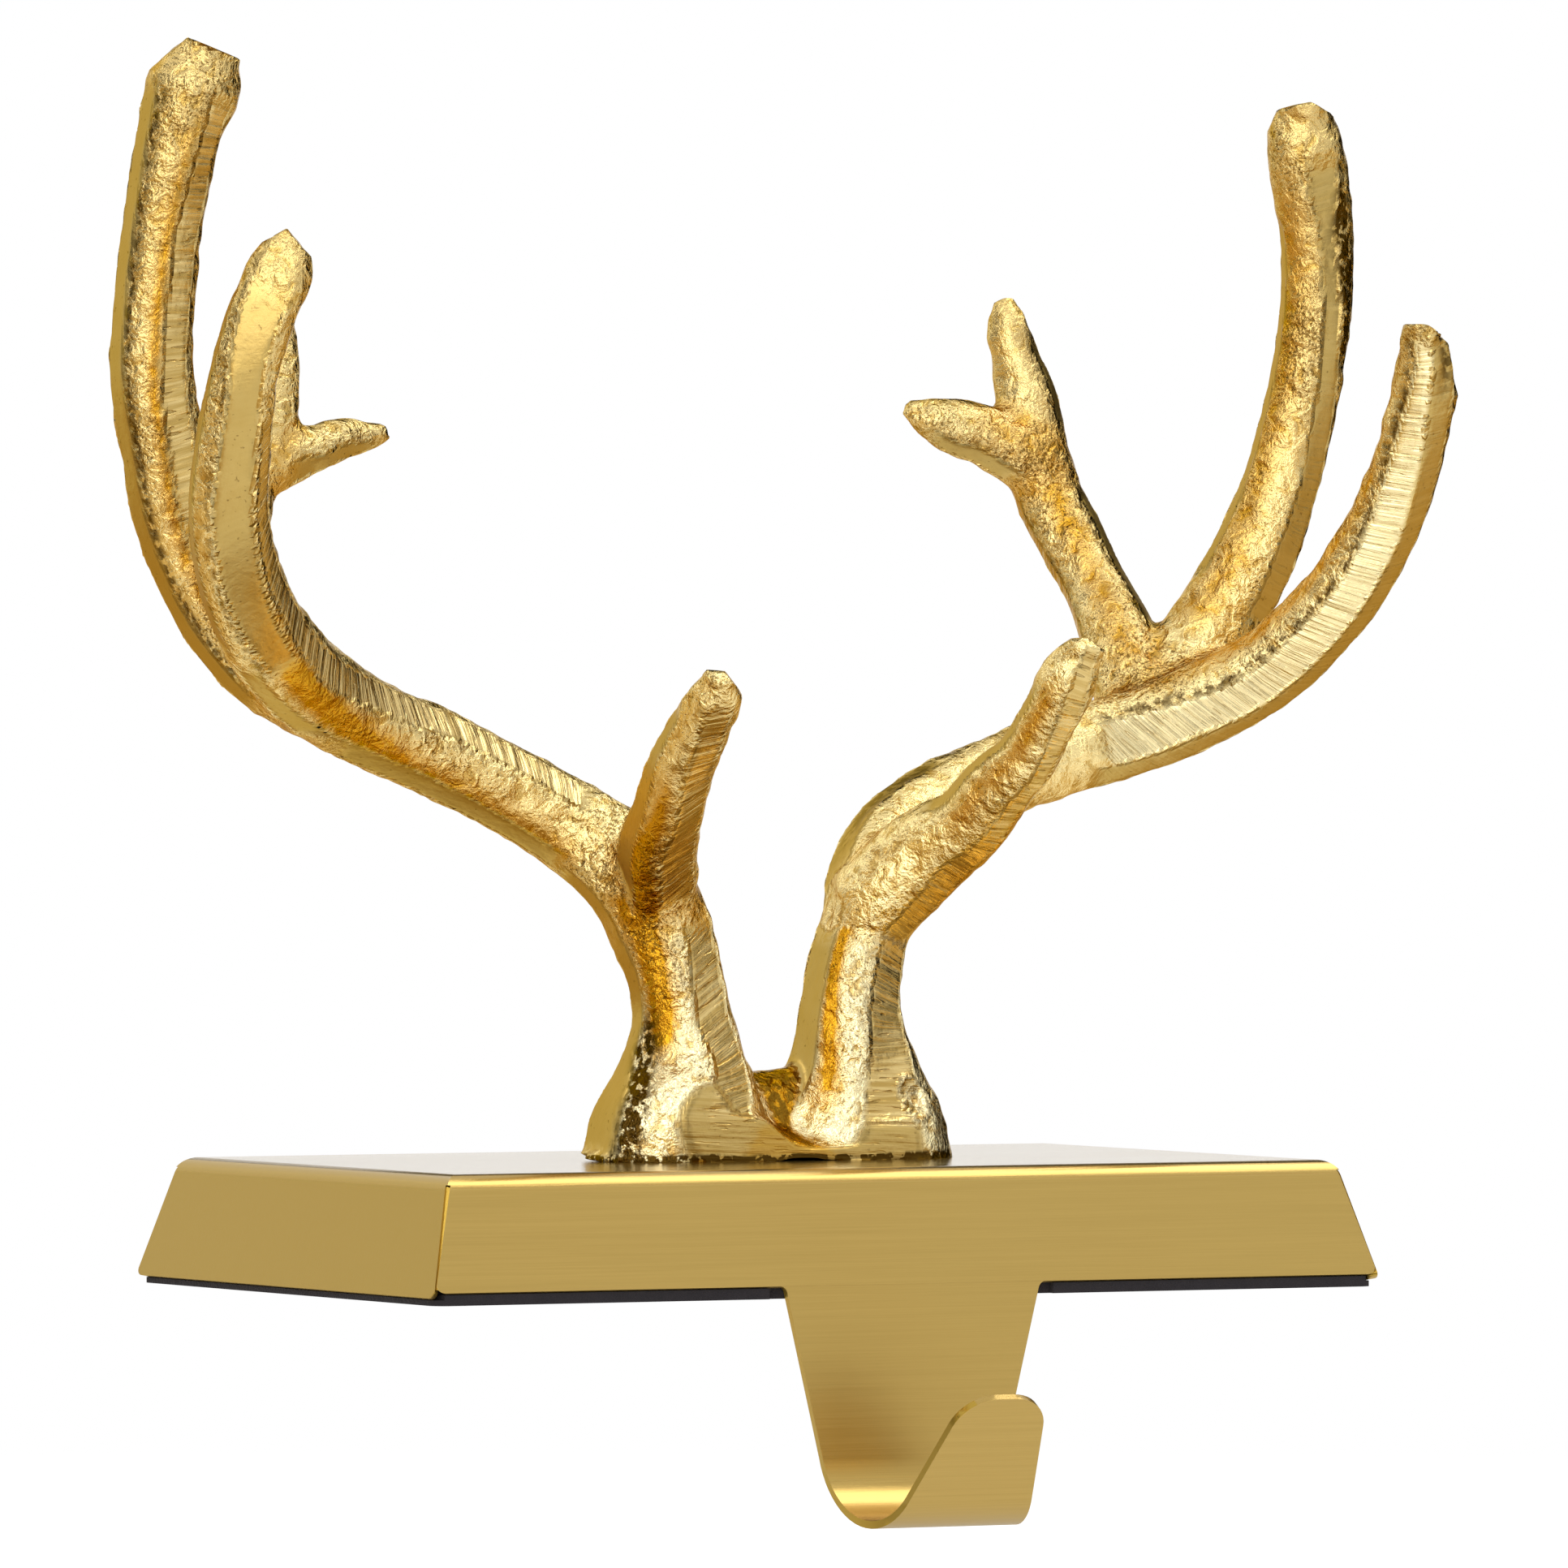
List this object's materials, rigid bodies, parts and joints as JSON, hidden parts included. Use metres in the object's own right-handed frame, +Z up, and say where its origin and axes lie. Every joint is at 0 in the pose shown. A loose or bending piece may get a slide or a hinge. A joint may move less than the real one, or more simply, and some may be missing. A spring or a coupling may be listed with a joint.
{
  "type": "mantel stocking holder",
  "caption": "Weighted stocking holder for a mantel shelf: gold sheet base with a J hook hanging in front and a cast pair of antlers standing on top.",
  "frame": {"origin": "centre of the pad's underside, where the holder rests on the shelf", "axes": "+Z up, +X to the right along the shelf's edge when facing the hook, -Y towards the room, the side of the hook"},
  "size_m": [0.1704, 0.0988, 0.1749],
  "materials": {
    "cover_sheet": "brushed, brass plated, clear lacquer",
    "casting": "rough casting with filed flats, gold finish",
    "weight": "as cast, painted",
    "pad": "fine closed foam",
    "screws": "zinc plated"
  },
  "bodies": {
    "root": {"base_cover": "cover_sheet", "antlers": "casting", "weight_plate": "weight", "foot_pad": "pad", "antler_screw_left": "screws", "antler_screw_right": "screws"}
  },
  "joints": []
}
